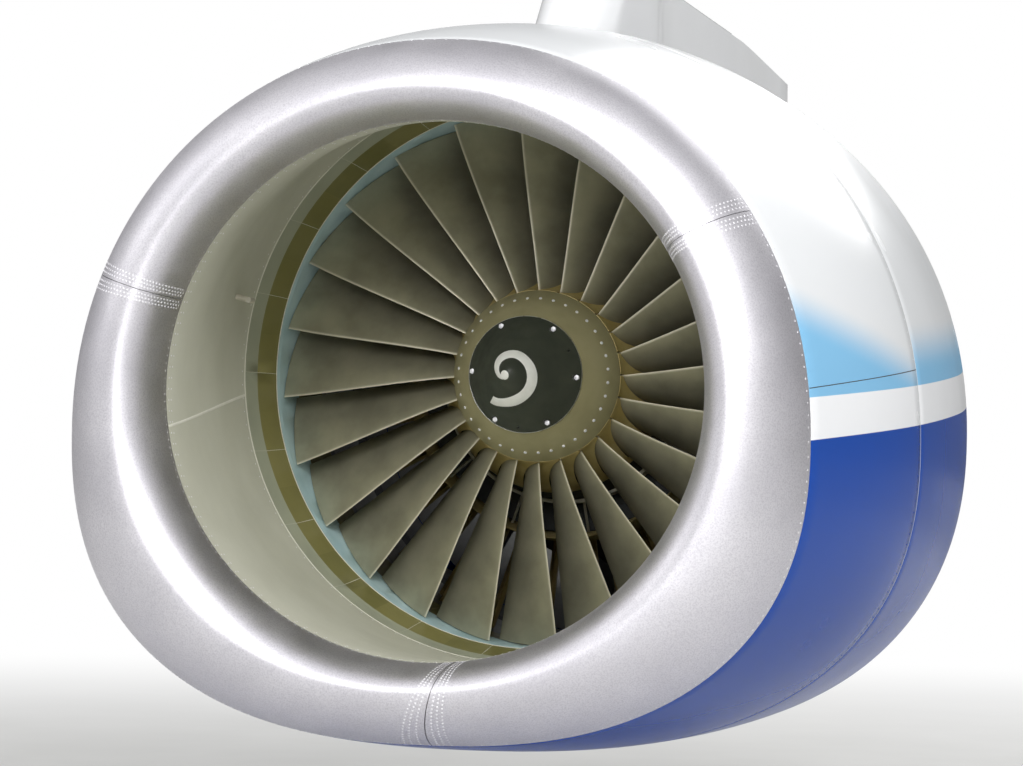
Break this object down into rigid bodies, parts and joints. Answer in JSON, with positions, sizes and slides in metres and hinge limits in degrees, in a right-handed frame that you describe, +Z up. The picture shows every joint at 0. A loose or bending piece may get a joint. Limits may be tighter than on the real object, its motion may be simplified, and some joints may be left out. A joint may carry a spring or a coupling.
{
  "type": "turbofan engine with nacelle",
  "caption": "High-bypass turbofan in its under-wing nacelle: drooped metal inlet lip, wide-chord fan and spinner, hinged fan cowls, reverser halves with sleeves, core nozzle and support beam.",
  "frame": {"origin": "forward mount: centre of its four bolt holes, on the top face of the support beam", "axes": "+Z up, +Y aft along the engine axis, so the intake faces -Y; +X is the outboard side of an engine on a left wing"},
  "size_m": [2.3737, 4.785, 2.3556],
  "materials": {
    "metal_lip": "satin",
    "white_paint": "gloss",
    "duct_green": "satin",
    "olive_liner": "matte",
    "pale_blue_liner": "matte",
    "blade_titanium": "satin",
    "golden_platform": "satin",
    "dark_cone": "satin",
    "steel": "satin",
    "dark_steel": "satin",
    "alloy": "satin",
    "hot_metal": "heat-tinted"
  },
  "bodies": {
    "engine": {"inlet_lip_upper": "metal_lip", "inlet_lip_outboard": "metal_lip", "inlet_lip_inboard": "metal_lip", "inlet_outer_barrel": "white_paint", "inlet_inner_barrel": "duct_green", "inlet_bulkheads": "alloy", "temperature_probe": "steel", "fan_case": "steel", "acoustic_panels": "olive_liner", "abradable_shroud": "pale_blue_liner", "splitter_case": "alloy", "booster_vanes": "dark_steel", "outlet_guide_vanes": "golden_platform", "fan_frame": "alloy", "main_bearings": "steel", "compressor_case": "steel", "combustor_case": "hot_metal", "combustor_liner": "hot_metal", "fuel_nozzles": "steel", "turbine_case": "hot_metal", "turbine_rear_frame": "hot_metal", "core_nozzle": "hot_metal", "exhaust_plug": "hot_metal", "accessory_gearbox": "alloy", "gearbox_accessories": "dark_steel", "oil_tank": "alloy", "support_beam": "steel", "mount_fairing": "white_paint", "engine_hangers": "steel"},
    "low_pressure_spool": {"fan_blades": "blade_titanium", "fan_disk": "steel", "blade_platforms": "golden_platform", "spinner_front_cone": "dark_cone", "spinner_rear_cone": "olive_liner", "spinner_bolts": "alloy", "booster_rotor": "steel", "low_pressure_shaft": "steel", "low_pressure_turbine": "hot_metal"},
    "high_pressure_spool": {"high_pressure_rotor": "steel"},
    "radial_drive": {"radial_drive_shaft": "steel"},
    "fan_cowl_door_left": {"fan_cowl_left": "white_paint", "nacelle_strake": "white_paint"},
    "fan_cowl_door_right": {"fan_cowl_right": "white_paint"},
    "latch_handles": {"cowl_latches": "steel"},
    "reverser_half_left": {"core_cowl_left": "alloy", "cascade_frame_left": "dark_steel"},
    "reverser_half_right": {"core_cowl_right": "alloy", "cascade_frame_right": "dark_steel"},
    "translating_sleeve_left": {"sleeve_left": "white_paint", "door_hinges_left": "steel"},
    "translating_sleeve_right": {"sleeve_right": "white_paint", "door_hinges_right": "steel"},
    "blocker_door_left_1_body": {"blocker_door_left_1": "alloy"},
    "blocker_door_left_2_body": {"blocker_door_left_2": "alloy"},
    "blocker_door_left_3_body": {"blocker_door_left_3": "alloy"},
    "blocker_door_left_4_body": {"blocker_door_left_4": "alloy"},
    "blocker_door_right_1_body": {"blocker_door_right_1": "alloy"},
    "blocker_door_right_2_body": {"blocker_door_right_2": "alloy"},
    "blocker_door_right_3_body": {"blocker_door_right_3": "alloy"},
    "blocker_door_right_4_body": {"blocker_door_right_4": "alloy"}
  },
  "joints": [
    {"name": "fan_spin", "type": "hinge", "parent": "engine", "child": "low_pressure_spool", "pos_m": [0, -0.77, -1.3], "axis": [0, -1, 0], "continuous": true},
    {"name": "core_spin", "type": "hinge", "parent": "engine", "child": "high_pressure_spool", "pos_m": [0, 0.43, -1.3], "axis": [0, -1, 0], "continuous": true},
    {"name": "radial_drive_spin", "type": "hinge", "parent": "engine", "child": "radial_drive", "pos_m": [0, -0.138, -1.3], "axis": [0.866, 0, -0.5], "continuous": true},
    {"name": "fan_cowl_left_open", "type": "hinge", "parent": "engine", "child": "fan_cowl_door_left", "pos_m": [-0.14, -0.37, -0.325], "axis": [0, 1, 0], "range_deg": [0, 55]},
    {"name": "fan_cowl_right_open", "type": "hinge", "parent": "engine", "child": "fan_cowl_door_right", "pos_m": [0.14, -0.37, -0.325], "axis": [0, -1, 0], "range_deg": [0, 55]},
    {"name": "latch_handles_open", "type": "hinge", "parent": "fan_cowl_door_right", "child": "latch_handles", "pos_m": [0.046, -0.57, -2.33969], "axis": [0, -1, 0], "range_deg": [0, 100]},
    {"name": "reverser_left_open", "type": "hinge", "parent": "engine", "child": "reverser_half_left", "pos_m": [-0.14, 0.02, -0.337], "axis": [0, 0.9952, -0.0976], "range_deg": [0, 45]},
    {"name": "reverser_right_open", "type": "hinge", "parent": "engine", "child": "reverser_half_right", "pos_m": [0.14, 0.02, -0.337], "axis": [0, -0.9952, 0.0976], "range_deg": [0, 45]},
    {"name": "sleeve_left_slide", "type": "slide", "parent": "reverser_half_left", "child": "translating_sleeve_left", "axis": [0, 1, 0], "range_m": [0, 0.48]},
    {"name": "sleeve_right_slide", "type": "slide", "parent": "reverser_half_right", "child": "translating_sleeve_right", "axis": [0, 1, 0], "range_m": [0, 0.48]},
    {"name": "door_left_1_fold", "type": "hinge", "parent": "translating_sleeve_left", "child": "blocker_door_left_1_body", "pos_m": [-0.45495, 0.065, -0.63649], "axis": [-0.8247, 0, -0.5655], "range_deg": [0, 75]},
    {"name": "door_left_2_fold", "type": "hinge", "parent": "translating_sleeve_left", "child": "blocker_door_left_2_body", "pos_m": [-0.77453, 0.065, -1.08247], "axis": [-0.2704, 0, -0.9628], "range_deg": [0, 75]},
    {"name": "door_left_3_fold", "type": "hinge", "parent": "translating_sleeve_left", "child": "blocker_door_left_3_body", "pos_m": [-0.73387, 0.065, -1.62962], "axis": [0.4097, 0, -0.9122], "range_deg": [0, 75]},
    {"name": "door_left_4_fold", "type": "hinge", "parent": "translating_sleeve_left", "child": "blocker_door_left_4_body", "pos_m": [-0.35188, 0.065, -2.02346], "axis": [0.8993, 0, -0.4374], "range_deg": [0, 75]},
    {"name": "door_right_1_fold", "type": "hinge", "parent": "translating_sleeve_right", "child": "blocker_door_right_1_body", "pos_m": [0.45495, 0.065, -0.63649], "axis": [-0.8247, 0, 0.5655], "range_deg": [0, 75]},
    {"name": "door_right_2_fold", "type": "hinge", "parent": "translating_sleeve_right", "child": "blocker_door_right_2_body", "pos_m": [0.77453, 0.065, -1.08247], "axis": [-0.2704, 0, 0.9628], "range_deg": [0, 75]},
    {"name": "door_right_3_fold", "type": "hinge", "parent": "translating_sleeve_right", "child": "blocker_door_right_3_body", "pos_m": [0.73387, 0.065, -1.62962], "axis": [0.4097, 0, 0.9122], "range_deg": [0, 75]},
    {"name": "door_right_4_fold", "type": "hinge", "parent": "translating_sleeve_right", "child": "blocker_door_right_4_body", "pos_m": [0.35188, 0.065, -2.02346], "axis": [0.8993, 0, 0.4374], "range_deg": [0, 75]}
  ],
  "couplings": [
    {"joint": "radial_drive_spin", "follows": "core_spin", "ratio": 4.7692},
    {"joint": "door_left_1_fold", "follows": "sleeve_left_slide", "rad_per_m": 2.727},
    {"joint": "door_left_2_fold", "follows": "sleeve_left_slide", "rad_per_m": 2.727},
    {"joint": "door_left_3_fold", "follows": "sleeve_left_slide", "rad_per_m": 2.727},
    {"joint": "door_left_4_fold", "follows": "sleeve_left_slide", "rad_per_m": 2.727},
    {"joint": "door_right_1_fold", "follows": "sleeve_right_slide", "rad_per_m": 2.727},
    {"joint": "door_right_2_fold", "follows": "sleeve_right_slide", "rad_per_m": 2.727},
    {"joint": "door_right_3_fold", "follows": "sleeve_right_slide", "rad_per_m": 2.727},
    {"joint": "door_right_4_fold", "follows": "sleeve_right_slide", "rad_per_m": 2.727}
  ]
}
